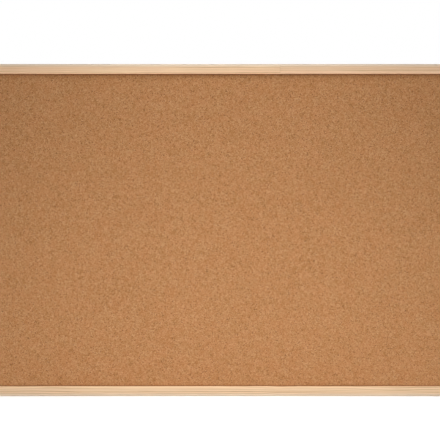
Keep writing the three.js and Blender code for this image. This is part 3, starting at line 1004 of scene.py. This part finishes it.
class PINBOARD_OT_hangers(bpy.types.Operator):
    """Set a folded strap and its screw on the back of each side rail"""

    bl_idname = "pin_board.hangers"
    bl_label = "Hanger straps and screws"

    def execute(self, context):
        metal = context.scene.pin_board.metal
        hinges = [HINGES[f"{side}_ring"] for side in SIDES]
        finish = zinc_finish("strap_zinc", metal, brushed=(1, 1, 0.04))
        spots = [(hinge, 0) for hinge in hinges]
        nodes = [f"hanger_strap_{side}" for side in SIDES]
        set_out("folded_straps", strap_mesh(metal), spots, finish, nodes, strap_hole(metal))
        finish = zinc_finish("screw_zinc", metal, brushed=(1, 1, 1))
        seat = SCREW_HIGH.y - metal.head_height
        turns = (0.5, 1.4)  # the two crosses stand differently
        spots = [(Vector((hinge.x, seat, SCREW_LEVEL)), turn) for hinge, turn in zip(hinges, turns)]
        nodes = [f"hanger_screw_{side}" for side in SIDES]
        set_out("pan_head_screws", screw_mesh(metal), spots, finish, nodes, cross_recess(metal))
        return {"FINISHED"}


class PINBOARD_OT_rings(bpy.types.Operator):
    """Hang a wire ring in the eye of each strap"""

    bl_idname = "pin_board.rings"
    bl_label = "Hanger rings"

    def execute(self, context):
        metal = context.scene.pin_board.metal
        finish = zinc_finish("ring_zinc", metal, brushed=(0.2, 1, 0.2))
        lean = math.atan2(RING_BACK, RING_UP)
        for side in SIDES:
            body = f"{side}_ring"
            piece = add_object(f"wire_ring_{side}", ring_mesh(metal))
            piece.data.transform(Matrix.Translation(HINGES[body]) @ Matrix.Rotation(lean, 4, "X"))
            dress(piece, finish, body, [f"hanger_ring_{side}"])
        return {"FINISHED"}


def add_lamp(name, place, aim, watts, size, spread=math.pi, tint=(1, 1, 1)):
    """A soft rectangular lamp that points at a spot."""
    lamp = bpy.data.lights.new(name, "AREA")
    lamp.shape = "RECTANGLE"
    lamp.size, lamp.size_y = size
    lamp.energy = watts
    lamp.spread = spread
    lamp.color = tint
    stood = add_object(name, lamp)
    stood.location = place
    stood.rotation_euler = (Vector(aim) - Vector(place)).to_track_quat("-Z", "Y").to_euler()
    stood.visible_camera = False


def seen_rays(graph):
    """1 for rays that show a background, straight or in metal or glass, and 0 for light."""
    path = graph.node("ShaderNodeLightPath", output="Is Camera Ray")
    shown = graph.maths("MAXIMUM", path, path.other("Is Glossy Ray"))
    return graph.maths("MAXIMUM", shown, path.other("Is Transmission Ray"))


def floor_finish(stage):
    """A pale floor that looks white and keeps the board's shadow."""
    finish = Finish("pale_floor")
    matt = finish.node("ShaderNodeBsdfDiffuse", {"Color": (*stage.floor_white, 1)})
    _, depth, _ = finish.parts()
    behind = finish.smooth(depth, -0.05, 0.15)
    near = stage.front_lift + behind * (stage.rear_lift - stage.front_lift)
    far = finish.smooth(finish.vector("LENGTH", finish.place).other("Value"), 0.5, 1.2)
    lift = near + far * (stage.far_lift - near)
    glow = finish.node("ShaderNodeEmission", {"Strength": seen_rays(finish) * lift})
    surface = finish.node("ShaderNodeAddShader", {0: matt, 1: glow})
    finish.node("ShaderNodeOutputMaterial", {"Surface": surface})
    return finish.material


def add_floor(stage):
    """A flat floor under the board."""
    reach = stage.floor_size / 2
    corners = [(-reach, -reach, 0), (reach, -reach, 0), (reach, reach, 0), (-reach, reach, 0)]
    mesh = bpy.data.meshes.new("floor")
    mesh.from_pydata(corners, [], [(0, 1, 2, 3)])
    mesh.materials.append(floor_finish(stage))
    add_object("floor", mesh)


def add_light(scene, stage):
    """Soft light from all round, and the studio's lamps."""
    world = bpy.data.worlds.new("studio")
    world.use_nodes = True
    scene.world = world
    graph = Graph(world.node_tree)
    strength = stage.ambient + seen_rays(graph) * (1 - stage.ambient)
    light = graph.node("ShaderNodeBackground", {"Color": (1, 1, 1, 1), "Strength": strength})
    graph.node("ShaderNodeOutputWorld", {"Surface": light})
    aim = Vector((0, 0, 0.22))
    ray = Vector((0, -math.cos(stage.key_angle), math.sin(stage.key_angle)))
    add_lamp(
        "key_lamp", place=aim + ray * stage.key_distance, aim=(0.02, 0, 0.05),
        watts=stage.key_power, size=(0.3, 0.9), spread=stage.key_spread,
    )
    add_lamp(
        "low_lamp", place=(0.03, -stage.low_distance, 0.05), aim=aim,
        watts=stage.low_power, size=(1.0, 0.08), tint=stage.low_tint,
    )
    add_lamp("back_lamp", place=(0, 1.4, 0.45), aim=aim, watts=stage.back_power, size=(1.2, 0.8))
    for name, x in (("left_lamp", -1.3), ("right_lamp", 1.3)):
        add_lamp(name, place=(x, 0.35, 0.3), aim=aim, watts=stage.side_power, size=(0.5, 0.5))


def add_camera(scene, stage):
    """A camera straight in front of the board, level with the view's middle."""
    camera = bpy.data.cameras.new("camera")
    camera.lens = stage.lens
    camera.sensor_width = stage.sensor
    stood = add_object("camera", camera)
    stood.location = (0, BOARD_LOW.y - stage.view_width * stage.lens / stage.sensor, stage.eye_height)
    stood.rotation_euler = (math.pi / 2, 0, 0)
    scene.camera = stood


class PINBOARD_OT_stage(bpy.types.Operator):
    """Set up the floor, the light and the camera"""

    bl_idname = "pin_board.stage"
    bl_label = "Floor, light and camera"

    def execute(self, context):
        scene = context.scene
        stage = scene.pin_board.stage
        scene.view_settings.view_transform = "Standard"
        add_floor(stage)
        add_light(scene, stage)
        add_camera(scene, stage)
        return {"FINISHED"}


OPERATORS = (
    PINBOARD_OT_rails, PINBOARD_OT_cork, PINBOARD_OT_core, PINBOARD_OT_staples,
    PINBOARD_OT_hangers, PINBOARD_OT_rings, PINBOARD_OT_stage,
)


class PINBOARD_PT_pieces(bpy.types.Panel):
    """The pieces of the pin board"""

    bl_label = "Pin board"
    bl_idname = "PINBOARD_PT_pieces"
    bl_space_type = "VIEW_3D"
    bl_region_type = "UI"
    bl_category = "Pin board"

    def draw(self, context):
        for operator in OPERATORS:
            self.layout.operator(operator.bl_idname)


CLASSES = (
    RailSettings, CorkSettings, CoreSettings, MetalSettings, StageSettings, PinBoardSettings,
    *OPERATORS, PINBOARD_PT_pieces,
)


def register():
    for each in CLASSES:
        bpy.utils.register_class(each)
    bpy.types.Scene.pin_board = PointerProperty(type=PinBoardSettings)


def unregister():
    del bpy.types.Scene.pin_board
    for each in reversed(CLASSES):
        bpy.utils.unregister_class(each)


def main():
    """Makes every piece and the stage."""
    register()
    for operator in OPERATORS:
        getattr(bpy.ops.pin_board, operator.bl_idname.split(".")[1])()


if __name__ == "__main__":
    main()
